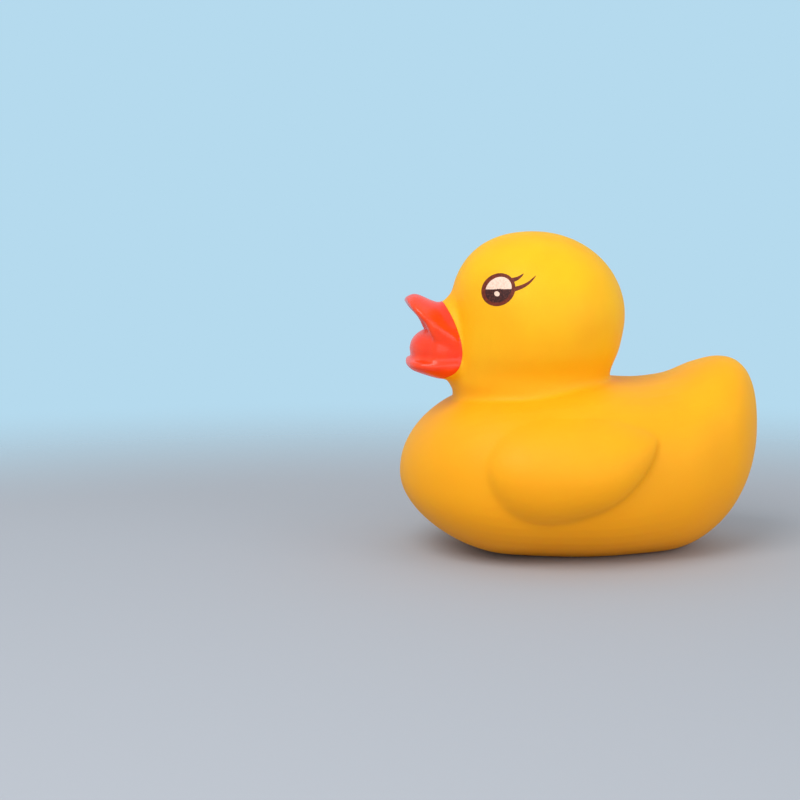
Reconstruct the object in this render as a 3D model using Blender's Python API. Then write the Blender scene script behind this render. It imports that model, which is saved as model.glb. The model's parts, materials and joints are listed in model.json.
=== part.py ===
"""Bath duck of soft vinyl, with the squeaker that is pushed into its base.

The body, tail, wings, head and open bill are one hollow moulding that stands on a flat oval base. The
bill's colour and the eyes are paint and print, so they are fields of colour on that moulding. Units are
metres: +X points to the bill, +Y to the duck's left and +Z up, from the ground under the duck's middle.
"""

from math import cos, pi, radians, sin

import bmesh
import bpy
from mathutils import Matrix, Vector

# Body, a boat shape from the chest to the upturned tail
CHEST_REACH = 0.0428
CHEST_LEVEL = 0.0186
CHEST_ROUNDING = 0.0245
SHOULDER_HEIGHT = 0.0390
BACK_HEIGHT = 0.0408
BACK_DIP = 0.0007
BODY_HALF_WIDTH = 0.0300
BODY_WIDEST_LEVEL = 0.0180
BELLY_DEPTH = 0.0012
BOW_RISE = 0.0030
HULL_SQUARENESS = 2.3
TAIL_SQUARENESS = 2.0
WAIST_SQUARENESS = 2.3
BACK_SQUARENESS = 2.8
SHOULDER_SQUARENESS = 2.6
CHEST_SQUARENESS = 2.1
STERN_RISE = 0.0020
TAIL_REACH = 0.0426
TAIL_LEVEL = 0.0287
TAIL_HEIGHT = 0.0454
TAIL_HALF_WIDTH = 0.0130
TAIL_TOP_ROUNDING = 0.0090
TAIL_FULLNESS = 2.6
TAIL_UNDER_ROUNDING = 0.0250
TAIL_SIDE_ROUNDING = 0.0100

# Head, a ball that is drawn down into a broad neck
HEAD_PLACE = 0.0113
HEAD_LEVEL = 0.0557
HEAD_TOP = 0.0753
FACE_REACH = 0.0197
HEAD_BACK_REACH = 0.0215
HEAD_HALF_WIDTH = 0.0197
BROW_FULLNESS = 2.35
NECK_LEVEL = 0.0410
NECK_FRONT = 0.0303
NECK_BACK = -0.0068
NECK_HALF_WIDTH = 0.0158
NECK_FOOT = 0.0320
CHIN_LEVEL = 0.0396
CHIN_SWELL = 0.0016

# Wings, teardrop pillows that lift off the flank at their lower rear edge
WING_FRONT = 0.0260
WING_TIP = -0.0132
WING_TOP = 0.0344
WING_FOOT = 0.0108
WING_TIP_LEVEL = 0.0292
WING_FRONT_LEVEL = 0.0235
WING_PROUD = 0.0049
WING_ROOT = 0.0040
WING_TOP_SOFTNESS = 1.6

# Bill, an arched upper half, a scoop below it and the tongue between them
BILL_ROOT = 0.0250
BILL_TIP = 0.0418
BILL_HALF_WIDTH = 0.0099
BILL_TIP_LEVEL = 0.0596
BILL_TIP_THICKNESS = 0.0024
BILL_TIP_ROUNDING = 0.0034
BILL_TIP_SQUARENESS = 2.6
BILL_SIDE = 0.0041
BILL_EDGE_INSET = 0.0009
PALATE_HOLLOW = 0.0030
PALATE_SQUARENESS = 4
ROOF_POWER = 2.2
BILL_BROW_LEVEL = 0.0588
BILL_CREST_LEVEL = 0.0545
BILL_CHEEK_LEVEL = 0.0502
LIP_REACH = 0.0415
LIP_LEVEL = 0.0449
LIP_THICKNESS = 0.0022
LIP_RISE = 0.0020
JAW_DEPTH = 0.0048
LIP_SQUARENESS = 3.0
JAW_SQUARENESS = 2.2
TONGUE_PLACE = 0.0340
TONGUE_LEVEL = 0.0481
TONGUE_HALF_LENGTH = 0.0066
TONGUE_HALF_WIDTH = 0.0084
TONGUE_HALF_HEIGHT = 0.0050
CHEEK_REACH = 0.0389
CHEEK_ROUNDING = 0.0042
CHEEK_LEVEL = 0.0481
CHEEK_HALF_HEIGHT = 0.0051
CHEEK_INSET = 0.0005
CHEEK_SQUARENESS = 2.5

# Edge of the bill's paint on the cheeks, an arc seen from the side
PAINT_BROW_PLACE = 0.0327
PAINT_BROW_LEVEL = 0.0586
PAINT_CHEEK_PLACE = 0.0292
PAINT_CHEEK_LEVEL = 0.0478
PAINT_CHIN_PLACE = 0.0338
PAINT_CHIN_LEVEL = 0.0411

# Eye print, seen from the side
EYE_PLACE = 0.0219
EYE_LEVEL = 0.0630
EYE_HALF_LENGTH = 0.0040
EYE_HALF_WIDTH = 0.0032
EYE_TILT = 48.0
EYE_LINE = 0.0008
LID_LEVEL = 0.0632
LID_SLOPE = 0.06
GLINT_PLACE = 0.0223
GLINT_LEVEL = 0.0621
GLINT_RADIUS = 0.0007
LASH_WIDTH = 0.0010
LONG_LASH_ROOT = (0.0188, 0.0632)
LONG_LASH_TIP = (0.0136, 0.0663)
SHORT_LASH_ROOT = (0.0191, 0.0652)
SHORT_LASH_TIP = (0.0163, 0.0667)
LASH_BEND = 0.08
LASH_TAPER = 0.7
EYE_SHEET_START = 0.0050

# Softness of the creases round the bill's root and beside the neck
COLLAR_LENGTH = 0.0060
NECK_FOLD_HEIGHT = 0.0045
NECK_FOLD_START = 0.0060
SOFT_STEPS = 30

# Wall of the moulding and its flat base
WALL = 0.0022
BASE_WALL = 0.0030
FINE_VOXEL = 0.00045
COARSE_VOXEL = 0.0016
BASE_SLACK = 0.00004
SKIN_FACES = 7600
FINE_WEIGHT = 0.5
FINE_FACTOR = 0.0005
CAVITY_FACES = 1100

# Squeaker and its seat in the base
FIT = 0.0003
SEAT_RADIUS = 0.0078
SEAT_DEPTH = 0.0015
HOLE_RADIUS = 0.0060
CUP_HEIGHT = 0.0110
CUP_WALL = 0.0011
BARB = 0.0008
LEDGE = 0.0008
LEDGE_LEVEL = 0.0056
SOUND_HOLE_RADIUS = 0.0014
REED_THICKNESS = 0.0004
REED_WIDTH = 0.0036
CAP_THICKNESS = 0.0010
CAP_SKIRT_WALL = 0.0008
CAP_HOLE_RADIUS = 0.0007
CAP_HOLES = 5

RING_POINTS = 48
TURNED_STEPS = 36


def clear_scene():
    """Start from an empty scene."""
    for item in list(bpy.data.objects):
        bpy.data.objects.remove(item, do_unlink=True)


def material(name, colour, roughness, metallic=0.0):
    """Principled material with one colour."""
    made = bpy.data.materials.new(name)
    made.use_nodes = True
    shader = made.node_tree.nodes["Principled BSDF"]
    shader.inputs["Base Color"].default_value = (*colour, 1.0)
    shader.inputs["Roughness"].default_value = roughness
    shader.inputs["Metallic"].default_value = metallic
    made.diffuse_color = (*colour, 1.0)
    return made


def through(knots, place):
    """Smooth value at a place on a curve through (place, value) knots, with no overshoot."""
    if place <= knots[0][0]:
        return knots[0][1]
    if place >= knots[-1][0]:
        return knots[-1][1]
    steps = [(b[1] - a[1]) / (b[0] - a[0]) for a, b in zip(knots, knots[1:])]
    slopes = [steps[0]]
    for before, after in zip(steps, steps[1:]):
        level = before * after <= 0
        slopes.append(0.0 if level else 2 * before * after / (before + after))
    slopes.append(steps[-1])
    index = max(i for i, knot in enumerate(knots[:-1]) if knot[0] <= place)
    start, end = knots[index], knots[index + 1]
    span = end[0] - start[0]
    t = (place - start[0]) / span
    return (
        start[1] * (2 * t**3 - 3 * t**2 + 1)
        + slopes[index] * span * (t**3 - 2 * t**2 + t)
        + end[1] * (3 * t**2 - 2 * t**3)
        + slopes[index + 1] * span * (t**3 - t**2)
    )


def rounded(distance, length, power=2.0):
    """How full a rounded end is, from 0 at its tip to 1 where the rounding is over."""
    inset = 1 - min(max(distance / length, 0.0), 1.0)
    return (1 - inset**power) ** (1 / power)


def power_ring(half_width, up, down, squareness_up=2.0, squareness_down=2.0):
    """Points (across, height) round a section with its own roundness above and below."""
    points = []
    for step in range(RING_POINTS):
        angle = 2 * pi * step / RING_POINTS
        side, rise = cos(angle), sin(angle)
        power = squareness_up if rise >= 0 else squareness_down
        reach = up if rise >= 0 else down
        across = half_width * abs(side) ** (2 / power) * (1 if side >= 0 else -1)
        height = reach * abs(rise) ** (2 / power) * (1 if rise >= 0 else -1)
        points.append((across, height))
    return points


def end_spaced(start, end, count):
    """Places between two ends that crowd towards both of them."""
    middle = (start + end) / 2
    half = (end - start) / 2
    return [middle - half * cos(pi * (step + 0.5) / count) for step in range(count)]


def loft(rings, start_tip, end_tip):
    """Closed skin over rings of equal point counts, drawn to a point at both ends."""
    mesh = bmesh.new()
    rows = [[mesh.verts.new(point) for point in ring] for ring in rings]
    for row, beyond in zip(rows, rows[1:]):
        for a, b, c, d in zip(row, row[1:] + row[:1], beyond[1:] + beyond[:1], beyond):
            mesh.faces.new((a, b, c, d))
    for row, tip in ((rows[0], start_tip), (rows[-1], end_tip)):
        point = mesh.verts.new(tip)
        for a, b in zip(row, row[1:] + row[:1]):
            mesh.faces.new((a, b, point))
    bmesh.ops.recalc_face_normals(mesh, faces=mesh.faces)
    return mesh


def body_section(place):
    """Level of the widest line at a place, with the half width, rise, drop and squareness there."""
    front_start = CHEST_REACH - CHEST_ROUNDING
    tail_start = TAIL_TOP_ROUNDING - TAIL_REACH
    waist = -TAIL_REACH / 2
    level = through(((-TAIL_REACH, TAIL_LEVEL), (waist, BODY_WIDEST_LEVEL + 0.0025),
                     (0.0, BODY_WIDEST_LEVEL), (CHEST_REACH, CHEST_LEVEL)), place)
    rump = (TAIL_HEIGHT - BACK_HEIGHT) * 0.2
    top = through(((-TAIL_REACH, TAIL_HEIGHT), (tail_start, TAIL_HEIGHT),
                   (waist * 1.32, TAIL_HEIGHT - rump * 1.4), (waist, BACK_HEIGHT + rump * 0.4),
                   (waist * 0.62, BACK_HEIGHT - BACK_DIP),
                   (0.0, BACK_HEIGHT), (front_start, SHOULDER_HEIGHT),
                   (CHEST_REACH, SHOULDER_HEIGHT - 0.0012)), place)
    keel = through(((-TAIL_REACH, STERN_RISE), (waist, -BELLY_DEPTH * 0.5), (0.0, -BELLY_DEPTH),
                    (front_start, -BELLY_DEPTH * 0.2), (CHEST_REACH, BOW_RISE)), place)
    half_width = through(((-TAIL_REACH, TAIL_HALF_WIDTH), (-TAIL_REACH * 0.8, TAIL_HALF_WIDTH * 1.35),
                          (waist, BODY_HALF_WIDTH * 0.82), (0.0, BODY_HALF_WIDTH),
                          (front_start, BODY_HALF_WIDTH * 0.98), (CHEST_REACH, BODY_HALF_WIDTH * 0.94)),
                         place)
    squareness = through(((-TAIL_REACH, TAIL_SQUARENESS), (waist, WAIST_SQUARENESS), (0.0, BACK_SQUARENESS),
                          (front_start, SHOULDER_SQUARENESS), (CHEST_REACH, CHEST_SQUARENESS)), place)
    behind = place + TAIL_REACH
    front = rounded(CHEST_REACH - place, CHEST_ROUNDING)
    rise = (top - level) * front * rounded(behind, TAIL_TOP_ROUNDING, TAIL_FULLNESS)
    drop = (level - keel) * front * rounded(behind, TAIL_UNDER_ROUNDING)
    half_width = half_width * front * rounded(behind, TAIL_SIDE_ROUNDING)
    return level, half_width, rise, drop, squareness


def body_form():
    """Boat-shaped body with its upturned tail, lofted from the tail to the chest."""
    rings = []
    for place in end_spaced(-TAIL_REACH, CHEST_REACH, 56):
        level, half_width, rise, drop, squareness = body_section(place)
        ring = power_ring(half_width, rise, drop, squareness, HULL_SQUARENESS)
        rings.append([(place, across, level + height) for across, height in ring])
    return loft(rings, (-TAIL_REACH, 0.0, TAIL_LEVEL), (CHEST_REACH, 0.0, CHEST_LEVEL))


def flank(place, height):
    """Half width of the body at a place along it and a height above the ground."""
    level, half_width, rise, drop, squareness = body_section(place)
    if height >= level:
        share, power = (height - level) / rise, squareness
    else:
        share, power = (level - height) / drop, HULL_SQUARENESS
    return half_width * (1 - min(share, 1.0)**power) ** (1 / power)


def head_form():
    """Round head and broad neck, lofted upwards from inside the body."""
    front_line = ((NECK_FOOT, NECK_FRONT), (CHIN_LEVEL - CHIN_SWELL, NECK_FRONT),
                  (CHIN_LEVEL, NECK_FRONT + CHIN_SWELL * 0.6),
                  (CHIN_LEVEL + CHIN_SWELL, NECK_FRONT + CHIN_SWELL),
                  (HEAD_LEVEL, HEAD_PLACE + FACE_REACH), (HEAD_TOP, HEAD_PLACE + FACE_REACH))
    back_line = ((NECK_FOOT, NECK_BACK), (NECK_LEVEL, NECK_BACK),
                 ((NECK_LEVEL + HEAD_LEVEL) / 2, HEAD_PLACE - HEAD_BACK_REACH * 0.95),
                 (HEAD_LEVEL, HEAD_PLACE - HEAD_BACK_REACH), (HEAD_TOP, HEAD_PLACE - HEAD_BACK_REACH))
    side_line = ((NECK_FOOT, NECK_HALF_WIDTH), (NECK_LEVEL, NECK_HALF_WIDTH),
                 ((NECK_LEVEL + HEAD_LEVEL) / 2, HEAD_HALF_WIDTH * 0.94), (HEAD_LEVEL, HEAD_HALF_WIDTH),
                 (HEAD_TOP, HEAD_HALF_WIDTH))
    rings = []
    for level in end_spaced(NECK_FOOT, HEAD_TOP, 44):
        brow = rounded(HEAD_TOP - level, HEAD_TOP - HEAD_LEVEL, BROW_FULLNESS)
        crown = rounded(HEAD_TOP - level, HEAD_TOP - HEAD_LEVEL)
        front = HEAD_PLACE + (through(front_line, level) - HEAD_PLACE) * brow
        back = HEAD_PLACE + (through(back_line, level) - HEAD_PLACE) * crown
        half_width = through(side_line, level) * crown
        half_length = (front - back) / 2
        rings.append([((front + back) / 2 + along, across, level)
                      for across, along in power_ring(half_width, half_length, half_length)])
    return loft(rings, mean_point(rings[0]), mean_point(rings[-1]))


def mean_point(ring):
    """Middle of a ring of points."""
    return tuple(sum(point[axis] for point in ring) / len(ring) for axis in range(3))


def bill_half_width(place, tip):
    """Half width of a bill half, seen from above: broad at the cheeks and round at the tip."""
    reach = tip - BILL_ROOT
    across = through(((BILL_ROOT, 0.45), (BILL_ROOT + 0.2 * reach, 0.72), (BILL_ROOT + 0.35 * reach, 0.93),
                      (BILL_ROOT + 0.6 * reach, 0.97), (tip, 0.84)), place)
    return BILL_HALF_WIDTH * across * rounded(tip - place, BILL_TIP_ROUNDING, BILL_TIP_SQUARENESS)


def arch_ring(half_width, top, crest, rim):
    """Points (across, level) round an arch: roof, side below its crest, and hollow palate."""
    points = []
    half = RING_POINTS // 2
    for step in range(half + 1):
        angle = pi * step / half
        points.append((half_width * cos(angle), crest + (top - crest) * sin(angle)**ROOF_POWER))
    inner = half_width - min(BILL_EDGE_INSET, half_width * 0.3)
    hollow = min(PALATE_HOLLOW * (crest - rim) / BILL_SIDE, half_width * 0.3)
    for step in range(half - 1):
        across = inner * (2 * step / (half - 2) - 1)
        points.append((across, rim + hollow * (1 - (across / inner)**PALATE_SQUARENESS)))
    return points


def upper_bill_form():
    """Raised upper half of the bill: an arch whose rims drop from the tip to the mouth corners."""
    reach = BILL_TIP - BILL_ROOT
    ridge_line = ((BILL_ROOT, BILL_BROW_LEVEL + 0.62 * reach),
                  (BILL_ROOT + 0.27 * reach, BILL_BROW_LEVEL + 0.26 * reach),
                  (BILL_ROOT + 0.36 * reach, BILL_BROW_LEVEL + 0.12 * reach),
                  (BILL_ROOT + 0.5 * reach, BILL_BROW_LEVEL),
                  (BILL_TIP - 0.12 * reach, BILL_TIP_LEVEL + BILL_TIP_THICKNESS * 0.55),
                  (BILL_TIP, BILL_TIP_LEVEL + BILL_TIP_THICKNESS * 0.45))
    crest_line = ((BILL_ROOT, BILL_CHEEK_LEVEL - 0.1 * reach), (BILL_ROOT + 0.27 * reach, BILL_CHEEK_LEVEL),
                  (BILL_ROOT + 0.63 * reach, BILL_CREST_LEVEL), (BILL_TIP, BILL_TIP_LEVEL))
    edge_line = ((BILL_ROOT, BILL_SIDE), (BILL_ROOT + 0.65 * reach, BILL_SIDE),
                 (BILL_ROOT + 0.77 * reach, BILL_SIDE * 0.45), (BILL_TIP, BILL_TIP_THICKNESS * 0.45))
    rings = []
    for place in end_spaced(BILL_ROOT, BILL_TIP, 30):
        closing = rounded(BILL_TIP - place, BILL_TIP_THICKNESS)
        crest = through(crest_line, place)
        top = crest + (through(ridge_line, place) - crest) * closing
        rim = crest - through(edge_line, place) * closing
        ring = arch_ring(bill_half_width(place, BILL_TIP), top, crest, rim)
        rings.append([(place, across, level) for across, level in ring])
    return loft(rings, mean_point(rings[0]), mean_point(rings[-1]))


def lower_bill_form():
    """Lower half of the bill: a shallow scoop that curls up to a rounded lip."""
    reach = LIP_REACH - BILL_ROOT
    rim_line = ((BILL_ROOT, LIP_LEVEL + LIP_RISE), (LIP_REACH, LIP_LEVEL + LIP_THICKNESS * 0.4))
    keel_line = ((BILL_ROOT, LIP_LEVEL - JAW_DEPTH), (BILL_ROOT + 0.5 * reach, LIP_LEVEL - JAW_DEPTH * 0.82),
                 (LIP_REACH, LIP_LEVEL - LIP_THICKNESS * 0.6))
    rings = []
    for place in end_spaced(BILL_ROOT, LIP_REACH, 30):
        closing = rounded(LIP_REACH - place, LIP_THICKNESS * 0.7)
        rise = (through(rim_line, place) - LIP_LEVEL) * closing
        drop = (LIP_LEVEL - through(keel_line, place)) * closing
        ring = power_ring(bill_half_width(place, LIP_REACH), rise, drop, LIP_SQUARENESS, JAW_SQUARENESS)
        rings.append([(place, across, LIP_LEVEL + height) for across, height in ring])
    return loft(rings, mean_point(rings[0]), mean_point(rings[-1]))


def ellipsoid(place, level, half_length, half_width, half_height):
    """Ball stretched along the three axes, on the duck's middle plane."""
    mesh = bmesh.new()
    bmesh.ops.create_uvsphere(mesh, u_segments=40, v_segments=24, radius=1.0)
    mesh.transform(Matrix.Translation((place, 0.0, level))
                   @ Matrix.Diagonal((half_length, half_width, half_height, 1.0)))
    return mesh


def tongue_form():
    """Round tongue that fills the open mouth."""
    return ellipsoid(TONGUE_PLACE, TONGUE_LEVEL, TONGUE_HALF_LENGTH, TONGUE_HALF_WIDTH, TONGUE_HALF_HEIGHT)


def cheek_form():
    """Web behind the tongue that joins the two bill halves at the mouth corners."""
    rings = []
    for place in end_spaced(BILL_ROOT, CHEEK_REACH, 24):
        closing = rounded(CHEEK_REACH - place, CHEEK_ROUNDING)
        half_width = (bill_half_width(place, BILL_TIP) - CHEEK_INSET) * closing
        half_height = CHEEK_HALF_HEIGHT * closing
        ring = power_ring(half_width, half_height, half_height, CHEEK_SQUARENESS, CHEEK_SQUARENESS)
        rings.append([(place, across, CHEEK_LEVEL + height) for across, height in ring])
    return loft(rings, mean_point(rings[0]), mean_point(rings[-1]))


def wing_form(side):
    """Teardrop pillow that swells from one flank, soft along its top and steep along its foot."""
    length = WING_FRONT - WING_TIP
    level_line = ((WING_TIP, WING_TIP_LEVEL), (WING_TIP + 0.45 * length, (WING_TOP + WING_FOOT) / 2),
                  (WING_FRONT, WING_FRONT_LEVEL))
    rings = []
    for place in end_spaced(WING_TIP, WING_FRONT, 30):
        ahead, behind = WING_FRONT - place, place - WING_TIP
        level = through(level_line, place)
        front = rounded(ahead, 0.38 * length)
        rise = (WING_TOP - level) * front * rounded(behind, 0.35 * length)
        drop = (level - WING_FOOT) * front * rounded(behind, 0.66 * length, 1.45)
        swell = rounded(ahead, 0.55 * length) * rounded(behind, 0.5 * length)
        foot_power = through(((WING_TIP, 0.75), (WING_TIP + 0.2 * length, 0.9),
                              (WING_TIP + 0.42 * length, 1.5), (WING_FRONT, 1.9)), place)
        ring = []
        for step in range(RING_POINTS):
            angle = 2 * pi * step / RING_POINTS
            outward, upward = cos(angle), sin(angle)
            height = level + upward * (rise if upward >= 0 else drop)
            power = WING_TOP_SOFTNESS if upward >= 0 else foot_power
            proud = WING_PROUD * swell * outward**power if outward > 0 else WING_ROOT * outward
            ring.append((place, side * (flank(place, height) + proud), height))
        rings.append(ring)
    return loft(rings, mean_point(rings[0]), mean_point(rings[-1]))


def mesh_object(name, *forms):
    """One object that holds the given meshes side by side."""
    joined = bmesh.new()
    for form in forms:
        part = bpy.data.meshes.new(name)
        form.to_mesh(part)
        form.free()
        joined.from_mesh(part)
        bpy.data.meshes.remove(part)
    data = bpy.data.meshes.new(name)
    joined.to_mesh(data)
    joined.free()
    made = bpy.data.objects.new(name, data)
    bpy.context.scene.collection.objects.link(made)
    return made


def add_modifier(item, kind, **settings):
    """Add one modifier with its settings."""
    modifier = item.modifiers.new(kind.title(), kind)
    for key, value in settings.items():
        setattr(modifier, key, value)
    return modifier


def apply_modifiers(item):
    """Give the object the mesh that its modifiers make."""
    evaluated = item.evaluated_get(bpy.context.evaluated_depsgraph_get())
    finished = bpy.data.meshes.new_from_object(evaluated)
    item.modifiers.clear()
    old = item.data
    item.data = finished
    bpy.data.meshes.remove(old)


def thin_to(item, faces, keep_fine=None):
    """Reduce a dense skin to about the given count of triangles, more gently where it is to stay fine."""
    triangles = sum(len(face.vertices) - 2 for face in item.data.polygons)
    settings = {"ratio": min(1.0, faces / triangles)}
    if keep_fine:
        group = item.vertex_groups.new(name="fine")
        group.add([vert.index for vert in item.data.vertices if keep_fine(vert.co)], FINE_WEIGHT, "ADD")
        settings["vertex_group"] = group.name
        settings["invert_vertex_group"] = True
        settings["vertex_group_factor"] = FINE_FACTOR
    add_modifier(item, "DECIMATE", **settings)
    apply_modifiers(item)
    item.vertex_groups.clear()


def cut_flat(item, level):
    """Cut a form off flat at a level and close the cut."""
    mesh = bmesh.new()
    mesh.from_mesh(item.data)
    everything = mesh.verts[:] + mesh.edges[:] + mesh.faces[:]
    cut = bmesh.ops.bisect_plane(mesh, geom=everything, plane_co=(0, 0, level), plane_no=(0, 0, -1),
                                 clear_outer=True, dist=1e-6)
    rim = [part for part in cut["geom_cut"] if isinstance(part, bmesh.types.BMEdge)]
    bmesh.ops.contextual_create(mesh, geom=rim)
    bmesh.ops.recalc_face_normals(mesh, faces=mesh.faces)
    mesh.to_mesh(item.data)
    mesh.free()


def on_bill(point):
    """Whether a point lies on the bill, ahead of the edge of its paint."""
    edge = paint_edge(point.z)
    return PAINT_CHIN_LEVEL - 0.001 < point.z < BILL_TIP_LEVEL + 0.003 and point.x > edge


def paint_edge(level):
    """Place of the edge of the bill's paint at a level."""
    return through(((PAINT_CHIN_LEVEL, PAINT_CHIN_PLACE), (PAINT_CHEEK_LEVEL, PAINT_CHEEK_PLACE),
                    (PAINT_BROW_LEVEL, PAINT_BROW_PLACE)), level)


def softness(point):
    """How soft the creases are: softest where the face runs into the bill and beside the neck."""
    ahead = point.x - paint_edge(point.z)
    collar = 1 - abs(2 * ahead / COLLAR_LENGTH + 1)
    on_face = PAINT_CHIN_LEVEL - COLLAR_LENGTH / 2 < point.z < PAINT_BROW_LEVEL + COLLAR_LENGTH / 2
    fold = 1 - abs(point.z - BACK_HEIGHT) / NECK_FOLD_HEIGHT
    beside = (abs(point.y) - NECK_FOLD_START) / (NECK_HALF_WIDTH - NECK_FOLD_START)
    return min(max(collar if on_face else 0.0, min(fold, beside), 0.0), 1.0)


def settle_base(item):
    """Put the corners of the flat base exactly on the ground."""
    for vert in item.data.vertices:
        if vert.co.z < BASE_SLACK:
            vert.co.z = 0.0


def make_skin():
    """Outside of the moulding: all its forms grown together with soft creases."""
    skin = mesh_object("duck_body", body_form(), head_form(), upper_bill_form(), lower_bill_form(),
                       tongue_form(), cheek_form(), wing_form(1), wing_form(-1))
    add_modifier(skin, "REMESH", mode="VOXEL", voxel_size=FINE_VOXEL)
    add_modifier(skin, "SMOOTH", factor=0.5, iterations=5)
    apply_modifiers(skin)
    soft = skin.vertex_groups.new(name="soft")
    for vert in skin.data.vertices:
        soft.add([vert.index], softness(vert.co), "ADD")
    add_modifier(skin, "SMOOTH", factor=0.5, iterations=SOFT_STEPS, vertex_group=soft.name)
    apply_modifiers(skin)
    skin.vertex_groups.clear()
    cut_flat(skin, 0.0)
    thin_to(skin, SKIN_FACES, on_bill)
    settle_base(skin)
    return skin


def make_cavity():
    """Hollow inside of the body and head, one wall inside the skin."""
    cavity = mesh_object("cavity", body_form(), head_form())
    add_modifier(cavity, "REMESH", mode="VOXEL", voxel_size=COARSE_VOXEL)
    add_modifier(cavity, "SMOOTH", factor=0.5, iterations=6)
    add_modifier(cavity, "DISPLACE", strength=-WALL, mid_level=0.0)
    apply_modifiers(cavity)
    thin_to(cavity, CAVITY_FACES)
    cut_flat(cavity, BASE_WALL)
    return cavity


def turned(profile):
    """Solid turned round the Z axis from a closed outline of (radius, height) points."""
    mesh = bmesh.new()
    verts = [mesh.verts.new((radius, 0.0, height)) for radius, height in profile]
    edges = [mesh.edges.new(pair) for pair in zip(verts, verts[1:] + verts[:1])]
    bmesh.ops.spin(mesh, geom=verts + edges, cent=(0, 0, 0), axis=(0, 0, 1), angle=2 * pi,
                   steps=TURNED_STEPS, use_merge=True)
    bmesh.ops.remove_doubles(mesh, verts=mesh.verts, dist=1e-6)
    loose = [edge for edge in mesh.edges if not edge.link_faces]
    bmesh.ops.delete(mesh, geom=loose, context="EDGES")
    bmesh.ops.recalc_face_normals(mesh, faces=mesh.faces)
    return mesh


def seat_form():
    """Stepped hole through the base that the squeaker is pushed into."""
    below = -0.001
    above = BASE_WALL + 0.001
    return turned([(0.0, below), (SEAT_RADIUS, below), (SEAT_RADIUS, SEAT_DEPTH),
                   (HOLE_RADIUS, SEAT_DEPTH), (HOLE_RADIUS, above), (0.0, above)])


def subtract(item, cutter):
    """Cut one object out of another and keep the cutter as a hidden guide."""
    cutter.hide_render = True
    cutter.display_type = "WIRE"
    add_modifier(item, "BOOLEAN", operation="DIFFERENCE", object=cutter, solver="EXACT")


def imprint(item, sheet):
    """Cut the outline of a sheet into a skin, without taking anything away from it."""
    sheet_slot = 9
    for face in sheet.data.polygons:
        face.material_index = sheet_slot
    mesh = bmesh.new()
    mesh.from_mesh(item.data)
    for face in mesh.faces:
        face.select_set(True)
    kept = len(mesh.faces)
    mesh.from_mesh(sheet.data)
    mesh.faces.ensure_lookup_table()
    for face in mesh.faces[kept:]:
        face.select_set(False)
    mesh.to_mesh(item.data)
    mesh.free()
    bpy.data.objects.remove(sheet, do_unlink=True)
    bpy.context.view_layer.objects.active = item
    item.select_set(True)
    bpy.ops.object.mode_set(mode="EDIT")
    bpy.ops.mesh.intersect(mode="SELECT_UNSELECT", separate_mode="NONE", threshold=1e-7, solver="EXACT")
    bpy.ops.object.mode_set(mode="OBJECT")
    mesh = bmesh.new()
    mesh.from_mesh(item.data)
    sheets = [face for face in mesh.faces if face.material_index == sheet_slot]
    bmesh.ops.delete(mesh, geom=sheets, context="FACES")
    bmesh.ops.remove_doubles(mesh, verts=mesh.verts, dist=1e-7)
    bmesh.ops.triangulate(mesh, faces=mesh.faces)
    mesh.to_mesh(item.data)
    mesh.free()


def side_sheets(outlines, closed=True):
    """Thin walls that stand on outlines given in the side view, one on each side of the duck."""
    mesh = bmesh.new()
    reach = BODY_HALF_WIDTH
    start = EYE_SHEET_START if closed else -reach
    for outline in outlines:
        walls = ((start, reach), (-reach, -start)) if closed else ((start, reach),)
        for near, far in walls:
            rows = [[mesh.verts.new((place, across, level)) for place, level in outline]
                    for across in (near, far)]
            pairs = list(zip(rows[0], rows[0][1:], rows[1][1:], rows[1]))
            if closed:
                pairs.append((rows[0][-1], rows[0][0], rows[1][0], rows[1][-1]))
            for corners in pairs:
                mesh.faces.new(corners)
    return mesh


def eye_outline(margin, points=28):
    """Tilted oval of the eye print in the side view, drawn in by a margin."""
    tilt = radians(EYE_TILT)
    outline = []
    for step in range(points):
        angle = 2 * pi * step / points
        along = (EYE_HALF_LENGTH - margin) * cos(angle)
        across = (EYE_HALF_WIDTH - margin) * sin(angle)
        outline.append((EYE_PLACE - along * cos(tilt) - across * sin(tilt),
                        EYE_LEVEL + along * sin(tilt) - across * cos(tilt)))
    return outline


def inside_eye(place, level, margin):
    """Whether a point of the side view lies inside the eye's oval, drawn in by a margin."""
    tilt = radians(EYE_TILT)
    back, up = EYE_PLACE - place, level - EYE_LEVEL
    along = back * cos(tilt) + up * sin(tilt)
    across = back * sin(tilt) - up * cos(tilt)
    return (along / (EYE_HALF_LENGTH - margin))**2 + (across / (EYE_HALF_WIDTH - margin))**2 < 1


def lid_level(place):
    """Level of the lid's straight edge, which rises a little towards the back."""
    return LID_LEVEL + LID_SLOPE * (EYE_PLACE - place)


def glint_outline(points=12):
    """Round glint in the iris."""
    return [(GLINT_PLACE + GLINT_RADIUS * cos(2 * pi * step / points),
             GLINT_LEVEL + GLINT_RADIUS * sin(2 * pi * step / points)) for step in range(points)]


def lash_outline(root, tip, points=5):
    """Tapered lash, curved a little upwards between its root and its tip."""
    start, end = Vector(root), Vector(tip)
    run = end - start
    normal = Vector((-run.y, run.x)).normalized()
    if normal.y > 0:
        normal = -normal
    lower, upper = [], []
    for step in range(points):
        share = step / (points - 1)
        middle = start + run * share + normal * run.length * LASH_BEND * sin(pi * share)
        half = LASH_WIDTH / 2 * (1 - share)**LASH_TAPER
        lower.append(tuple(middle + normal * half))
        upper.append(tuple(middle - normal * half))
    return lower + upper[-2::-1]


def inside_outline(outline, place, level):
    """Whether a point of the side view lies inside a closed outline."""
    inside = False
    for (ax, az), (bx, bz) in zip(outline, outline[1:] + outline[:1]):
        if (az > level) != (bz > level) and place < ax + (level - az) * (bx - ax) / (bz - az):
            inside = not inside
    return inside


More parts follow.
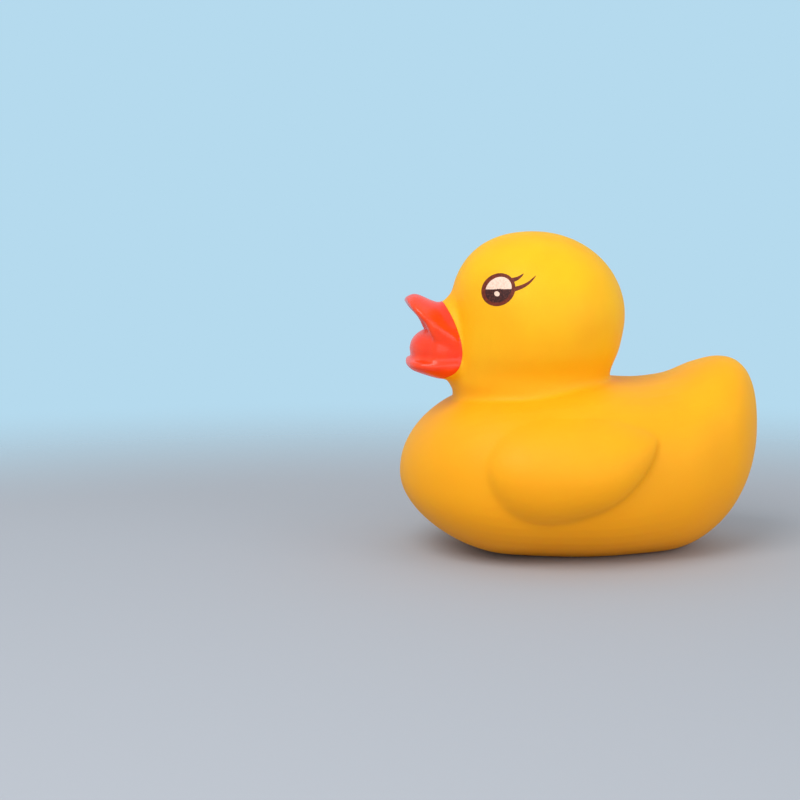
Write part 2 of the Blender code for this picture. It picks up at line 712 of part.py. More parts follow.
def paint_sheet():
    """Curved sheet through the edge of the bill's paint, from cheek to cheek."""
    low, high = PAINT_CHIN_LEVEL - 0.0015, PAINT_BROW_LEVEL + 0.0015
    steps = 18
    edge = []
    for step in range(steps + 1):
        level = low + (high - low) * step / steps
        edge.append((paint_edge(level), level))
    return side_sheets([edge], closed=False)


def print_colours(duck):
    """Cut the fields of colour into the skin and give each its material."""
    lashes = [lash_outline(LONG_LASH_ROOT, LONG_LASH_TIP), lash_outline(SHORT_LASH_ROOT, SHORT_LASH_TIP)]
    front, back = EYE_PLACE + EYE_HALF_LENGTH, EYE_PLACE - EYE_HALF_LENGTH
    lid_line = [(back, lid_level(back)), (front, lid_level(front)), (front, GLINT_LEVEL), (back, GLINT_LEVEL)]
    imprint(duck, mesh_object("paint_edge", paint_sheet()))
    imprint(duck, mesh_object("lashes", side_sheets(lashes)))
    imprint(duck, mesh_object("eye_rim", side_sheets([eye_outline(0.0)])))
    imprint(duck, mesh_object("eye_field", side_sheets([eye_outline(EYE_LINE)])))
    imprint(duck, mesh_object("lid_edge", side_sheets([lid_line])))
    imprint(duck, mesh_object("glint", side_sheets([glint_outline()])))
    for face in duck.data.polygons:
        place, across, level = face.center
        face.material_index = 0
        if on_bill(face.center):
            face.material_index = 1
        elif abs(across) < EYE_SHEET_START or level < NECK_LEVEL:
            continue
        elif inside_outline(glint_outline(), place, level):
            face.material_index = 3
        elif inside_eye(place, level, EYE_LINE) and level > lid_level(place):
            face.material_index = 3
        elif inside_eye(place, level, 0.0):
            face.material_index = 2
        elif any(inside_outline(lash, place, level) for lash in lashes):
            face.material_index = 2


def make_duck_body():
    """The whole moulding: skin, colour fields, cavity and squeaker seat."""
    duck = make_skin()
    duck.data.materials.append(material("yellow_vinyl", (0.94, 0.53, 0.02), 0.5))
    duck.data.materials.append(material("orange_bill_paint", (0.93, 0.06, 0.012), 0.2))
    duck.data.materials.append(material("brown_eye_print", (0.11, 0.035, 0.03), 0.45))
    duck.data.materials.append(material("cream_eye_print", (0.95, 0.72, 0.58), 0.45))
    print_colours(duck)
    subtract(duck, make_cavity())
    apply_modifiers(duck)
    subtract(duck, mesh_object("squeaker_seat", seat_form()))
    apply_modifiers(duck)
    duck.data.shade_smooth()
    duck.data.set_sharp_from_angle(angle=radians(50))


def squeaker_levels():
    """Levels that the squeaker's pieces share, from the ground up."""
    flange_top = SEAT_DEPTH - FIT
    reed_foot = LEDGE_LEVEL + FIT
    skirt_foot = reed_foot + REED_THICKNESS + FIT
    cap_foot = CUP_HEIGHT + FIT
    return flange_top, reed_foot, skirt_foot, cap_foot


def make_cup():
    """Turned cup with a flange in the base's recess and a barb above the base's wall."""
    flange_top, _, _, _ = squeaker_levels()
    neck = HOLE_RADIUS - FIT
    bore = neck - CUP_WALL
    barb_foot = BASE_WALL + FIT
    barb_top = barb_foot + 2 * BARB
    outline = [(SOUND_HOLE_RADIUS, FIT), (SEAT_RADIUS - FIT, FIT), (SEAT_RADIUS - FIT, flange_top),
               (neck, flange_top), (neck, barb_foot), (neck + BARB, barb_foot), (neck, barb_top),
               (neck, CUP_HEIGHT), (bore, CUP_HEIGHT), (bore, LEDGE_LEVEL), (bore - LEDGE, LEDGE_LEVEL),
               (bore - LEDGE, SEAT_DEPTH + CUP_WALL), (SOUND_HOLE_RADIUS, SEAT_DEPTH + CUP_WALL)]
    return mesh_object("squeaker_cup", turned(outline))


def make_reed():
    """Thin strip across the cup's ledge, with corners that clear the bore."""
    _, foot, _, _ = squeaker_levels()
    bore = HOLE_RADIUS - FIT - CUP_WALL
    half_width = REED_WIDTH / 2
    half_length = ((bore - FIT)**2 - half_width**2)**0.5
    mesh = bmesh.new()
    bmesh.ops.create_cube(mesh, size=1.0)
    mesh.transform(Matrix.Translation((0.0, 0.0, foot + REED_THICKNESS / 2))
                   @ Matrix.Diagonal((2 * half_length, REED_WIDTH, REED_THICKNESS, 1.0)))
    return mesh_object("squeaker_reed", mesh)


def make_cap():
    """Turned cap whose skirt holds the reed down, with air holes through its top."""
    _, _, skirt_foot, cap_foot = squeaker_levels()
    neck = HOLE_RADIUS - FIT
    skirt = neck - CUP_WALL - FIT
    inner = skirt - CAP_SKIRT_WALL
    top = cap_foot + CAP_THICKNESS
    cap = mesh_object("squeaker_cap", turned([
        (0.0, cap_foot), (inner, cap_foot), (inner, skirt_foot), (skirt, skirt_foot),
        (skirt, cap_foot), (neck, cap_foot), (neck, top), (0.0, top)]))
    drills = bmesh.new()
    for hole in range(CAP_HOLES):
        angle = 2 * pi * hole / CAP_HOLES
        ring = inner / 2
        place = Matrix.Translation((ring * cos(angle), ring * sin(angle), top))
        bmesh.ops.create_cone(drills, segments=12, radius1=CAP_HOLE_RADIUS, radius2=CAP_HOLE_RADIUS,
                              depth=4 * CAP_THICKNESS, cap_ends=True, matrix=place)
    subtract(cap, mesh_object("air_holes", drills))
    return cap


def build():
    """Make every piece of the duck."""
    clear_scene()
    make_duck_body()
    cream = material("cream_plastic", (0.82, 0.80, 0.74), 0.35)
    pieces = ((make_cup(), cream), (make_cap(), cream),
              (make_reed(), material("spring_brass", (0.78, 0.57, 0.25), 0.3, 1.0)))
    for piece, finish in pieces:
        piece.data.materials.append(finish)
        piece.data.shade_smooth()
        piece.data.set_sharp_from_angle(angle=radians(30))


build()
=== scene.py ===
# %% [markdown]
# # Rubber duck
# A bath duck of soft yellow vinyl stands on a grey table, seen from its left side. This file starts from
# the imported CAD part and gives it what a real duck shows: one smooth skin with soft creases, a sprayed
# glossy bill, printed eyes and a squeaker in the base.

import json
from math import pi, radians, sin

import bpy
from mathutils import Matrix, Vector

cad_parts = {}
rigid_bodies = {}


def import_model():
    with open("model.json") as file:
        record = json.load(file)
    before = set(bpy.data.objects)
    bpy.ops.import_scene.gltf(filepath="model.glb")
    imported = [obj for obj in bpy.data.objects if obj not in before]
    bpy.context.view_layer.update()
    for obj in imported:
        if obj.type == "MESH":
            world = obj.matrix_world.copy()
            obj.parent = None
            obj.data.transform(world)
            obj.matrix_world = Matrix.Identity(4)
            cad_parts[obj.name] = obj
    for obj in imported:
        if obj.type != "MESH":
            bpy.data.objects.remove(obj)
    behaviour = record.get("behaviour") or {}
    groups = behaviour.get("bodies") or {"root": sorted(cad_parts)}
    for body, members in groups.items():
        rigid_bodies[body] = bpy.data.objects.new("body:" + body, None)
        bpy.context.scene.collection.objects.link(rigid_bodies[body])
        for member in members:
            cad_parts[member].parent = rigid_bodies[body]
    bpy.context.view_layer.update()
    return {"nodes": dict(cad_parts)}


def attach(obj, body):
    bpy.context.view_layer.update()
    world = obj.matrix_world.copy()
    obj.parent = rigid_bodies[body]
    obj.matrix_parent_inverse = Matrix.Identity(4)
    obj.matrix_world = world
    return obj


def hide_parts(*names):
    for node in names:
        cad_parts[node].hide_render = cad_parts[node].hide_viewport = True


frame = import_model()
print("CAD nodes:", sorted(frame["nodes"]))

# %% [markdown]
# ## Helpers for working by hand
# Blender's operators act on whatever is selected, so each step first selects just what it works on.
# Modifiers are added and applied one at a time, as in the modifier panel.

# %% Select and apply
MM = 0.001


def pick(item):
    """Select one object alone and make it active."""
    if bpy.context.mode != "OBJECT":
        bpy.ops.object.mode_set(mode="OBJECT")
    bpy.ops.object.select_all(action="DESELECT")
    item.select_set(True)
    bpy.context.view_layer.objects.active = item


def select_faces(item, wanted):
    """Select the faces whose centre and normal answer a question, ready for edit mode."""
    pick(item)
    bpy.ops.object.mode_set(mode="EDIT")
    bpy.ops.mesh.select_mode(type="FACE")
    bpy.ops.mesh.select_all(action="DESELECT")
    bpy.ops.object.mode_set(mode="OBJECT")
    for face in item.data.polygons:
        face.select = wanted(face.center, face.normal)
    bpy.ops.object.mode_set(mode="EDIT")


def finish_modifier(item, kind, **settings):
    """Add one modifier with its settings and apply it."""
    pick(item)
    modifier = item.modifiers.new(kind.title(), kind)
    for key, value in settings.items():
        setattr(modifier, key, value)
    bpy.ops.object.modifier_apply(modifier=modifier.name)


def smooth(item, degrees):
    """Shade a piece smooth, with edges sharper than an angle left crisp."""
    pick(item)
    bpy.ops.object.shade_smooth_by_angle(angle=radians(degrees))


def report(item):
    """Print how large a piece is and how many faces it has."""
    size = [round(side / MM, 1) for side in item.dimensions]
    print(f"{item.name}: {size} mm, {len(item.data.polygons)} faces")


# %% [markdown]
# ## The moulding
# The real duck is rotomoulded: liquid vinyl is turned in a hot hollow mould and sets as one skin with no
# parting edge to speak of. The CAD part has the right form but flat facets. Modelling it again from a ball
# would drift from the measured form, so a copy of the node is merged and split into its outside and its
# hollow. The outside is then grown again on a fine grid and smoothed, least of all at the bill, where the
# real mould has its crisp edges.

# %% Copy the node and split it into outside and hollow
SEAT_RADIUS = 7.8 * MM
SEAT_DEPTH = 1.5 * MM
HOLE_RADIUS = 6.0 * MM
BASE_WALL = 3.0 * MM
CROWN = 75.0 * MM
TOUCH = 0.05 * MM
MERGE = 0.001 * MM

bpy.ops.object.select_all(action="DESELECT")
skin = bpy.data.objects.new("duck_skin", frame["nodes"]["duck_body"].data.copy())
bpy.context.scene.collection.objects.link(skin)
skin.data.materials.clear()


def in_seat(centre, normal):
    """Whether a face belongs to the stepped hole that the squeaker sits in."""
    radius = centre.to_2d().length
    wall = abs(normal.z) < 0.5 and radius < SEAT_RADIUS + TOUCH and centre.z < BASE_WALL + TOUCH
    ledge = radius < SEAT_RADIUS and 2 * TOUCH < centre.z < BASE_WALL - 2 * TOUCH
    return wall or ledge


pick(skin)
bpy.ops.object.mode_set(mode="EDIT")
bpy.ops.mesh.select_all(action="SELECT")
bpy.ops.mesh.remove_doubles(threshold=MERGE)
select_faces(skin, in_seat)
bpy.ops.mesh.delete(type="FACE")
select_faces(skin, lambda centre, normal: centre.z > CROWN)
bpy.ops.mesh.select_linked()
bpy.ops.mesh.select_all(action="INVERT")
bpy.ops.mesh.separate(type="SELECTED")
bpy.ops.object.mode_set(mode="OBJECT")
hollow = [item for item in bpy.context.selected_objects if item != skin][0]
hollow.name = "hollow"
for shell in (skin, hollow):
    pick(shell)
    bpy.ops.object.mode_set(mode="EDIT")
    bpy.ops.mesh.select_all(action="DESELECT")
    bpy.ops.mesh.select_mode(type="EDGE")
    bpy.ops.mesh.select_non_manifold()
    bpy.ops.mesh.edge_face_add()
    bpy.ops.mesh.select_all(action="SELECT")
    bpy.ops.mesh.normals_make_consistent(inside=False)
    bpy.ops.object.mode_set(mode="OBJECT")
    report(shell)

# %% Grow a fine skin and smooth it
GRID = 0.45 * MM
BILL_START = 28.5 * MM
BILL_FULL = 31.0 * MM
BILL_LEVELS = (38.0 * MM, 64.0 * MM)
BODY_SMOOTHING = 14
BILL_SMOOTHING = 4
KEPT_FACES = 0.72

finish_modifier(skin, "REMESH", mode="VOXEL", voxel_size=GRID)
away_from_bill = skin.vertex_groups.new(name="away_from_bill")
for vert in skin.data.vertices:
    beside = BILL_LEVELS[0] < vert.co.z < BILL_LEVELS[1]
    share = (BILL_FULL - vert.co.x) / (BILL_FULL - BILL_START) if beside else 1.0
    away_from_bill.add([vert.index], min(max(share, 0.0), 1.0), "REPLACE")
finish_modifier(skin, "SMOOTH", factor=0.5, iterations=BODY_SMOOTHING, vertex_group="away_from_bill")
finish_modifier(skin, "SMOOTH", factor=0.5, iterations=BILL_SMOOTHING)
finish_modifier(skin, "DECIMATE", ratio=KEPT_FACES)
report(skin)

# %% Hollow it and cut the squeaker's seat
# The base is shaded flat, because a real duck stands on a plane that its mould gives it.
OVERRUN = 0.5 * MM
DRILL_SIDES = 96

finish_modifier(skin, "BOOLEAN", operation="DIFFERENCE", object=hollow, solver="EXACT")
bpy.data.objects.remove(hollow)
for radius, depth in ((SEAT_RADIUS, SEAT_DEPTH), (HOLE_RADIUS, BASE_WALL + OVERRUN)):
    bpy.ops.object.select_all(action="DESELECT")
    bpy.ops.mesh.primitive_cylinder_add(vertices=DRILL_SIDES, radius=radius, depth=2 * depth,
                                        location=(0, 0, 0))
    drill = bpy.context.object
    finish_modifier(skin, "BOOLEAN", operation="DIFFERENCE", object=drill, solver="EXACT")
    bpy.data.objects.remove(drill)
smooth(skin, 50)
select_faces(skin, lambda centre, normal: abs(centre.z) < TOUCH and normal.z < -0.999)
bpy.ops.mesh.faces_shade_flat()
bpy.ops.object.mode_set(mode="OBJECT")
report(skin)

# %% Place the skin
def settle(piece):
    """A finished piece moves with the duck's one body, and its size is printed."""
    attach(piece, "root")
    report(piece)


settle(skin)
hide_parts("duck_body")

# %% [markdown]
# ## The painted bill
# The bill is moulded in the same yellow vinyl, and then a mask is clamped on the face and glossy
# orange-red vinyl paint is sprayed over the bill. The paint could be a colour on the skin, but then its
# edge is only as crisp as the skin's faces. Here it is a coat of its own: a copy of the skin is cut with a
# block whose back face follows the mask, and what is left is given the coat's thickness.

# %% Outline tools
def outline_block(name, outline, near, far):
    """Block whose side view is an outline of (forward, up) points in millimetres."""
    bpy.ops.object.select_all(action="DESELECT")
    bpy.ops.mesh.primitive_circle_add(vertices=len(outline), radius=1.0, fill_type="NGON")
    block = bpy.context.object
    block.name = name
    for vert, (forward, up) in zip(block.data.vertices, outline):
        vert.co = (forward * MM, near * MM, up * MM)
    bpy.ops.object.mode_set(mode="EDIT")
    bpy.ops.mesh.select_all(action="SELECT")
    bpy.ops.mesh.extrude_region_move(TRANSFORM_OT_translate={"value": (0, (far - near) * MM, 0)})
    bpy.ops.mesh.select_all(action="SELECT")
    bpy.ops.mesh.normals_make_consistent(inside=False)
    bpy.ops.object.mode_set(mode="OBJECT")
    return block


def smooth_line(points, steps):
    """Points on a smooth line through the given (forward, up) points."""
    line = []
    for index in range(len(points) - 1):
        a, b = points[index], points[index + 1]
        before = points[index - 1] if index else a
        after = points[index + 2] if index + 2 < len(points) else b
        for step in range(steps):
            t = step / steps
            line.append(tuple(
                0.5 * (2 * q + (r - p) * t + (2 * p - 5 * q + 4 * r - s) * t**2
                       + (3 * q - p - 3 * r + s) * t**3)
                for p, q, r, s in zip(before, a, b, after)))
    return line + [points[-1]]


# %% Spray the bill through its mask
MASK_EDGE = [(36.0, 40.0), (33.8, 41.3), (32.4, 42.2), (31.0, 43.2), (29.9, 44.7), (29.3, 47.0),
             (29.4, 49.2), (29.9, 51.6), (31.1, 55.2), (32.7, 58.6), (34.6, 62.0)]
MASK_STEPS = 6
MASK_AHEAD = 50.0
MASK_HALF_WIDTH = 15.0
COAT = 0.04 * MM

ahead = [(MASK_AHEAD, MASK_EDGE[-1][1]), (MASK_AHEAD, MASK_EDGE[0][1])]
mask = outline_block("mask", smooth_line(MASK_EDGE, MASK_STEPS) + ahead, -MASK_HALF_WIDTH, MASK_HALF_WIDTH)
mask.data.materials.append(bpy.data.materials.new("mask_side"))
coat = bpy.data.objects.new("bill_paint", skin.data.copy())
bpy.context.scene.collection.objects.link(coat)
coat.data.materials.append(bpy.data.materials.new("coat_side"))
finish_modifier(coat, "BOOLEAN", operation="INTERSECT", object=mask, solver="EXACT",
                material_mode="TRANSFER")
bpy.data.objects.remove(mask)
from_mask = [slot.name for slot in coat.material_slots].index("mask_side")
pick(coat)
bpy.ops.object.mode_set(mode="EDIT")
bpy.ops.mesh.select_mode(type="FACE")
bpy.ops.mesh.select_all(action="DESELECT")
coat.active_material_index = from_mask
bpy.ops.object.material_slot_select()
bpy.ops.mesh.delete(type="FACE")
bpy.ops.object.mode_set(mode="OBJECT")
coat.data.materials.clear()
finish_modifier(coat, "SOLIDIFY", thickness=COAT, offset=1.0, use_even_offset=False)
smooth(coat, 60)
settle(coat)

# %% [markdown]
# ## The printed eyes
# Each eye is pad-printed: a soft silicone pad presses ink on the curved head, one colour after another.
# Brown comes first as an oval with two lashes, then a darker iris, a cream lid that hides its upper part
# and a dot of light. Each colour is drawn flat beside the head, pressed on it with Shrinkwrap, which
# works as the pad does, and given a film's thickness. A mirror prints the other side.

# %% Print helper
FILM = 0.015 * MM
LAYER = 1.5
BESIDE = 40.0 * MM
OVAL_POINTS = 48
OVAL_CUTS = 5


def press(film, layer):
    """Press a flat drawing on the left side of the head, and mirror it to the right."""
    finish_modifier(film, "SHRINKWRAP", wrap_method="PROJECT", use_project_x=False, use_project_y=True,
                    use_project_z=False, use_positive_direction=False, use_negative_direction=True,
                    target=skin, offset=(1 + LAYER * layer) * FILM)
    finish_modifier(film, "SOLIDIFY", thickness=FILM, offset=1.0)
    finish_modifier(film, "MIRROR", use_axis=(False, True, False), use_mirror_merge=False)
    smooth(film, 60)
    settle(film)


def draw_oval(name, forward, up, half_length, half_width, tilt):
    """Flat oval beside the head, with enough faces to follow its curve."""
    bpy.ops.object.select_all(action="DESELECT")
    bpy.ops.mesh.primitive_circle_add(vertices=OVAL_POINTS, radius=1.0, fill_type="TRIFAN")
    oval = bpy.context.object
    oval.name = name
    oval.scale = (half_length * MM, half_width * MM, 1.0)
    oval.rotation_euler = (-pi / 2, radians(tilt), 0.0)
    oval.location = (forward * MM, BESIDE, up * MM)
    bpy.ops.object.transform_apply()
    bpy.ops.object.mode_set(mode="EDIT")
    bpy.ops.mesh.select_all(action="SELECT")
    bpy.ops.mesh.subdivide(number_cuts=OVAL_CUTS)
    bpy.ops.object.mode_set(mode="OBJECT")
    return oval


LASH_WIDTH = 1.0
LASH_TIP_WIDTH = 0.04
LASH_TAPER = 0.7
LASH_BEND = 0.08


def draw_lash(name, root, tip):
    """Flat tapered strip from root to tip, bowed a little downwards."""
    bpy.ops.object.select_all(action="DESELECT")
    bpy.ops.mesh.primitive_grid_add(x_subdivisions=16, y_subdivisions=2, size=1.0)
    lash = bpy.context.object
    lash.name = name
    start, end = Vector(root), Vector(tip)
    run = end - start
    side = Vector((run.y, -run.x)).normalized()
    for vert in lash.data.vertices:
        share = vert.co.x + 0.5
        half = LASH_WIDTH / 2 * (1 - share)**LASH_TAPER + LASH_TIP_WIDTH / 2
        middle = start + run * share - side * (LASH_BEND * run.length * sin(pi * share))
        point = middle + side * (vert.co.y * 2 * half)
        vert.co = (point.x * MM, BESIDE, point.y * MM)
    return lash


# %% Brown oval and lashes
EYE = (21.9, 63.0)
EYE_TILT = 48.0
EYE_HALVES = (4.0, 3.2)
RIM = 0.8
LASHES = [((18.8, 63.2), (13.6, 66.3)), ((19.1, 65.2), (16.3, 66.7))]

rim = draw_oval("eye_outline_ink", *EYE, *EYE_HALVES, EYE_TILT)
lashes = [draw_lash(f"lash_{number}", root, tip) for number, (root, tip) in enumerate(LASHES)]
pick(rim)
for lash in lashes:
    lash.select_set(True)
bpy.ops.object.join()
press(rim, 0)

# %% Iris, lid and glint
LID_LEVEL = 63.2
LID_SLOPE = 0.06
GLINT = (22.3, 62.1)
GLINT_RADIUS = 0.56

iris = draw_oval("iris_ink", *EYE, EYE_HALVES[0] - RIM, EYE_HALVES[1] - RIM, EYE_TILT)
press(iris, 1)

lid = draw_oval("lid_ink", *EYE, EYE_HALVES[0] - RIM, EYE_HALVES[1] - RIM, EYE_TILT)
pick(lid)
bpy.ops.object.mode_set(mode="EDIT")
bpy.ops.mesh.select_all(action="SELECT")
bpy.ops.mesh.bisect(plane_co=(EYE[0] * MM, BESIDE, LID_LEVEL * MM), plane_no=(LID_SLOPE, 0.0, 1.0),
                    clear_inner=True)
bpy.ops.object.mode_set(mode="OBJECT")
press(lid, 2)

glint = draw_oval("glint_ink", *GLINT, GLINT_RADIUS, GLINT_RADIUS, 0.0)
press(glint, 2)

# %% [markdown]
# ## Materials
# Every material starts from the real one. Colours are read as sRGB hex values and turned linear by one
# function, and one small function adds a shader node with its settings and links.

# %% Material helpers
def colour(hex_code):
    """Linear colour from an sRGB hex code."""
    parts = [int(hex_code[i:i + 2], 16) / 255 for i in (1, 3, 5)]
    return [part / 12.92 if part <= 0.04045 else ((part + 0.055) / 1.055)**2.4 for part in parts] + [1.0]


def new_material(name, **settings):
    """Material with one Principled shader, and its node tree."""
    made = bpy.data.materials.new(name)
    made.use_nodes = True
    shader = made.node_tree.nodes["Principled BSDF"]
    for key, value in settings.items():
        shader.inputs[key.replace("_", " ")].default_value = value
    made.diffuse_color = shader.inputs["Base Color"].default_value
    return made, made.node_tree, shader


def add(tree, kind, links, **settings):
    """Add one node. Settings go to its sockets or options, and links are socket and source pairs."""
    made = tree.nodes.new(kind)
    for key, value in settings.items():
        if key in made.inputs:
            made.inputs[key].default_value = value
        else:
            setattr(made, key, value)
    for socket, source in links:
        tree.links.new(source, made.inputs[socket])
    return made


def per(millimetres):
    """Noise scale that gives features of about this size."""
    return 1.0 / (millimetres * MM)


# %% Soft yellow vinyl
# Soft PVC, moulded in a satin mould. Light goes a little way into it, so shadows on it turn warm and never
# grey, and highlights are broad and weak. Its colour is painted deeper orange towards the base: painted
# shade, standing in for the warm shade that falls low on the duck. The slow waves of the moulding are about
# 5 mm. The mould's grain is finer than the picture can show, so it is drawn at 0.4 mm.
vinyl, tree, shader = new_material("soft_pvc_satin_moulded", Base_Color=colour("#FBAF0A"), Roughness=0.55,
                                   IOR=1.5, Specular_IOR_Level=0.25, Subsurface_Weight=0.2,
                                   Subsurface_Radius=(1.0, 0.4, 0.1), Subsurface_Scale=0.002)
place = add(tree, "ShaderNodeTexCoord", []).outputs["Object"]
clouds = add(tree, "ShaderNodeTexNoise", [("Vector", place)], Scale=per(14), Detail=2.0)
tone = add(tree, "ShaderNodeValToRGB", [("Fac", clouds.outputs["Fac"])])
tone.color_ramp.elements[0].position = 0.35
tone.color_ramp.elements[0].color = colour("#FBB70A")
tone.color_ramp.elements[1].position = 0.65
tone.color_ramp.elements[1].color = colour("#FDC00E")
# Painted shade: the colour is mixed towards deeper orange from 70 mm down to 5 mm, where the shade falls.
height = add(tree, "ShaderNodeSeparateXYZ", [("Vector", place)])
painted_shade_to_base = add(tree, "ShaderNodeMapRange", [("Value", height.outputs["Z"])],
            **{"From Min": 70 * MM, "From Max": 5 * MM})
painted_shade_mix = add(tree, "ShaderNodeMixRGB", [("Fac", painted_shade_to_base.outputs["Result"]), ("Color1", tone.outputs["Color"])],
           Color2=colour("#FAA006"))
tree.links.new(painted_shade_mix.outputs["Color"], shader.inputs["Base Color"])
rub = add(tree, "ShaderNodeTexNoise", [("Vector", place)], Scale=per(5), Detail=3.0)
dull = add(tree, "ShaderNodeMapRange", [("Value", rub.outputs["Fac"])], **{"To Min": 0.5, "To Max": 0.62})
tree.links.new(dull.outputs["Result"], shader.inputs["Roughness"])
grain = add(tree, "ShaderNodeTexNoise", [("Vector", place)], Scale=per(0.4), Detail=2.0)
waves = add(tree, "ShaderNodeBump", [("Height", rub.outputs["Fac"])], Strength=0.25, Distance=0.1 * MM)
fine = add(tree, "ShaderNodeBump", [("Height", grain.outputs["Fac"]), ("Normal", waves.outputs["Normal"])],
           Strength=0.35, Distance=0.02 * MM)
tree.links.new(fine.outputs["Normal"], shader.inputs["Normal"])
skin.data.materials.append(vinyl)

# %% Sprayed bill paint
# Flexible gloss vinyl paint, sprayed through a mask. The eye sees a deep, nearly even red-orange with small
# bright highlights, which the fine orange peel of the spray breaks a little. The peel is drawn at its real
# size of about 0.7 mm.
paint, tree, shader = new_material("vinyl_paint_sprayed_gloss", Base_Color=colour("#FA3E10"),
                                   Roughness=0.26, IOR=1.5, Specular_IOR_Level=0.45)
place = add(tree, "ShaderNodeTexCoord", []).outputs["Object"]
drift = add(tree, "ShaderNodeTexNoise", [("Vector", place)], Scale=per(6), Detail=2.0)
tone = add(tree, "ShaderNodeValToRGB", [("Fac", drift.outputs["Fac"])])
tone.color_ramp.elements[0].position = 0.35
tone.color_ramp.elements[0].color = colour("#F63708")
tone.color_ramp.elements[1].position = 0.65
tone.color_ramp.elements[1].color = colour("#FF460E")
tree.links.new(tone.outputs["Color"], shader.inputs["Base Color"])
peel = add(tree, "ShaderNodeTexNoise", [("Vector", place)], Scale=per(0.7), Detail=1.0)
bump = add(tree, "ShaderNodeBump", [("Height", peel.outputs["Fac"])], Strength=0.3, Distance=0.02 * MM)
tree.links.new(bump.outputs["Normal"], shader.inputs["Normal"])
coat.data.materials.append(paint)


# %% Printing inks
# Pad-printing inks are stamped on with a soft silicone pad. The eye sees flat, nearly matt colour with crisp
# edges. The real pinholes are too fine to see, so the specks are drawn at 0.35 to 0.5 mm.
def ink(name, light, dark, speck, low, high):
    """Pad-printing ink, a thin satin film with specks of another tone."""
    made, tree, shader = new_material(name, Base_Color=colour(light), Roughness=0.5, IOR=1.5,
                                      Specular_IOR_Level=0.15)
    place = add(tree, "ShaderNodeTexCoord", []).outputs["Object"]
    specks = add(tree, "ShaderNodeTexNoise", [("Vector", place)], Scale=per(speck), Detail=1.0)
    tone = add(tree, "ShaderNodeValToRGB", [("Fac", specks.outputs["Fac"])])
    tone.color_ramp.elements[0].position = low
    tone.color_ramp.elements[0].color = colour(dark)
    tone.color_ramp.elements[1].position = high
    tone.color_ramp.elements[1].color = colour(light)
    tree.links.new(tone.outputs["Color"], shader.inputs["Base Color"])
    return made


rim.data.materials.append(ink("brown_printing_ink", "#7A3220", "#64281A", 0.5, 0.4, 0.6))
iris.data.materials.append(ink("dark_printing_ink", "#5E302A", "#3C1E1C", 0.35, 0.45, 0.7))
cream = ink("cream_printing_ink", "#F8D6C2", "#EFC2AC", 0.4, 0.35, 0.6)
lid.data.materials.append(cream)
glint.data.materials.append(cream)

# %% Squeaker materials
# Natural polyethylene, injection moulded. It is milky, with soft edges to its shadows and a waxy shine that
# changes slowly along the flow of the plastic, about 2 mm across.
plastic, tree, shader = new_material("polyethylene_moulded", Base_Color=colour("#EFEBDD"), Roughness=0.4,
                                     IOR=1.51, Subsurface_Weight=0.3, Subsurface_Radius=(1.0, 0.9, 0.8),
                                     Subsurface_Scale=0.001)
place = add(tree, "ShaderNodeTexCoord", []).outputs["Object"]
flow = add(tree, "ShaderNodeTexNoise", [("Vector", place)], Scale=per(2), Detail=2.0)
dull = add(tree, "ShaderNodeMapRange", [("Value", flow.outputs["Fac"])], **{"To Min": 0.32, "To Max": 0.48})
tree.links.new(dull.outputs["Result"], shader.inputs["Roughness"])
bump = add(tree, "ShaderNodeBump", [("Height", flow.outputs["Fac"])], Strength=0.2, Distance=0.05 * MM)
tree.links.new(bump.outputs["Normal"], shader.inputs["Normal"])

# Rolled brass strip. The rolls leave fine lines along the strip, which draw its shine out across them. The
# real lines are too fine to see, so they are drawn about 0.15 mm apart.
brass, tree, shader = new_material("rolled_brass_strip", Base_Color=colour("#D9B25F"), Metallic=1.0,
                                   Roughness=0.3)
place = add(tree, "ShaderNodeTexCoord", []).outputs["Object"]
along = add(tree, "ShaderNodeMapping", [("Vector", place)], Scale=(1.0, 20.0, 1.0))
lines = add(tree, "ShaderNodeTexNoise", [("Vector", along.outputs["Vector"])], Scale=per(3), Detail=2.0)
dull = add(tree, "ShaderNodeMapRange", [("Value", lines.outputs["Fac"])], **{"To Min": 0.22, "To Max": 0.4})
tree.links.new(dull.outputs["Result"], shader.inputs["Roughness"])

for name, finish in (("squeaker_cup", plastic), ("squeaker_cap", plastic), ("squeaker_reed", brass)):
    frame["nodes"][name].material_slots[0].material = finish
    print(name, "gets", finish.name)

# %% [markdown]
# ## Table, light and camera
# The duck stands on a grey table before a pale blue backdrop. The table fades into the backdrop all round,
# so that there is no hard horizon, and it keeps the duck's soft shadow. The large soft key light stands
# high on the left. A weaker one on the right and a low one in front fill the shadows.

# %% Table
bpy.ops.object.select_all(action="DESELECT")
bpy.ops.mesh.primitive_plane_add(size=3.0, location=(0, 0, 0))
table = bpy.context.object
table.name = "table"
bpy.ops.object.transform_apply()
BACKDROP = "#B5DAEE"
FADE_CENTRE = (0.04, 0.2, 0.0)
FADE_START = 0.27
FADE_END = 0.45

# Uncoated grey paper, matt and even, so that only the shadow shows on it.
cloth, tree, shader = new_material("table_paper", Base_Color=colour("#AEB2B9"), Roughness=0.9)
place = add(tree, "ShaderNodeTexCoord", []).outputs["Object"]
ahead = add(tree, "ShaderNodeMapping", [("Vector", place)], Location=[-part for part in FADE_CENTRE])
reach = add(tree, "ShaderNodeVectorMath", [(0, ahead.outputs["Vector"])], operation="LENGTH")
fade = add(tree, "ShaderNodeMapRange", [("Value", reach.outputs["Value"])], interpolation_type="SMOOTHSTEP",
           **{"From Min": FADE_START, "From Max": FADE_END})
clear = add(tree, "ShaderNodeBsdfTransparent", [])
mixed = add(tree, "ShaderNodeMixShader",
            [(0, fade.outputs["Result"]), (1, shader.outputs["BSDF"]), (2, clear.outputs["BSDF"])])
tree.links.new(mixed.outputs["Shader"], tree.nodes["Material Output"].inputs["Surface"])
table.data.materials.append(cloth)

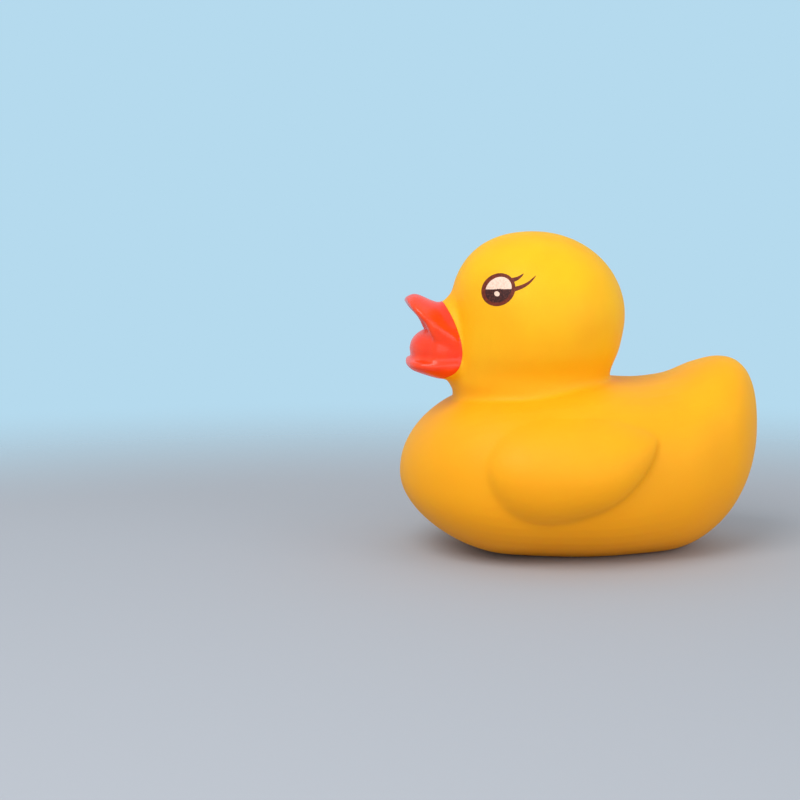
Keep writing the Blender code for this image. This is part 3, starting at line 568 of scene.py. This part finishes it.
# %% World and lamps
# The camera sees the pale blue backdrop, and so do reflections and rays through the table's clear edge.
# All other rays see a nearly white room, which lights the duck softly from everywhere.
world = bpy.data.worlds.new("studio")
bpy.context.scene.world = world
world.use_nodes = True
tree = world.node_tree
room = tree.nodes["Background"]
room.inputs["Color"].default_value = colour("#F2F6FA")
room.inputs["Strength"].default_value = 0.7
backdrop = add(tree, "ShaderNodeBackground", [], Color=colour(BACKDROP), Strength=1.0)
path = add(tree, "ShaderNodeLightPath", [])
seen = add(tree, "ShaderNodeMath", [(0, path.outputs["Is Camera Ray"]), (1, path.outputs["Is Glossy Ray"])],
           operation="MAXIMUM")
seen = add(tree, "ShaderNodeMath", [(0, seen.outputs["Value"]), (1, path.outputs["Is Transmission Ray"])],
           operation="MAXIMUM")
both = add(tree, "ShaderNodeMixShader", [(0, seen.outputs["Value"]), (1, room.outputs["Background"]),
                                         (2, backdrop.outputs["Background"])])
tree.links.new(both.outputs["Shader"], tree.nodes["World Output"].inputs["Surface"])


LAMP_AIM = (0.0, 0.0, 0.04)


def facing(place, aim):
    """Rotation that turns a lamp or camera at a place towards its aim."""
    return (Vector(aim) - Vector(place)).to_track_quat("-Z", "Y").to_euler()


def lamp(name, place, size, power):
    """Soft square lamp that faces the duck."""
    bpy.ops.object.select_all(action="DESELECT")
    bpy.ops.object.light_add(type="AREA", location=place)
    made = bpy.context.object
    made.name = name
    made.data.size = size
    made.data.energy = power
    made.rotation_euler = facing(place, LAMP_AIM)
    print(name, power, "W")


lamp("key", (0.30, 0.34, 0.52), 0.4, 2.2)
lamp("side_fill", (-0.50, 0.50, 0.20), 0.5, 1.1)
lamp("low_fill", (0.05, 0.80, 0.06), 0.8, 2.0)

# %% Camera
CAMERA_PLACE = (0.0907, 0.4666, 0.1048)
CAMERA_AIM = (0.0423, -0.0058, 0.0350)
CAMERA_LENS = 90.7

bpy.ops.object.select_all(action="DESELECT")
bpy.ops.object.camera_add(location=CAMERA_PLACE)
camera = bpy.context.object
camera.rotation_euler = facing(CAMERA_PLACE, CAMERA_AIM)
camera.data.sensor_width = 36.0
camera.data.lens = CAMERA_LENS
camera.data.clip_start = 0.01
bpy.context.scene.camera = camera
bpy.context.scene.view_settings.view_transform = "Standard"
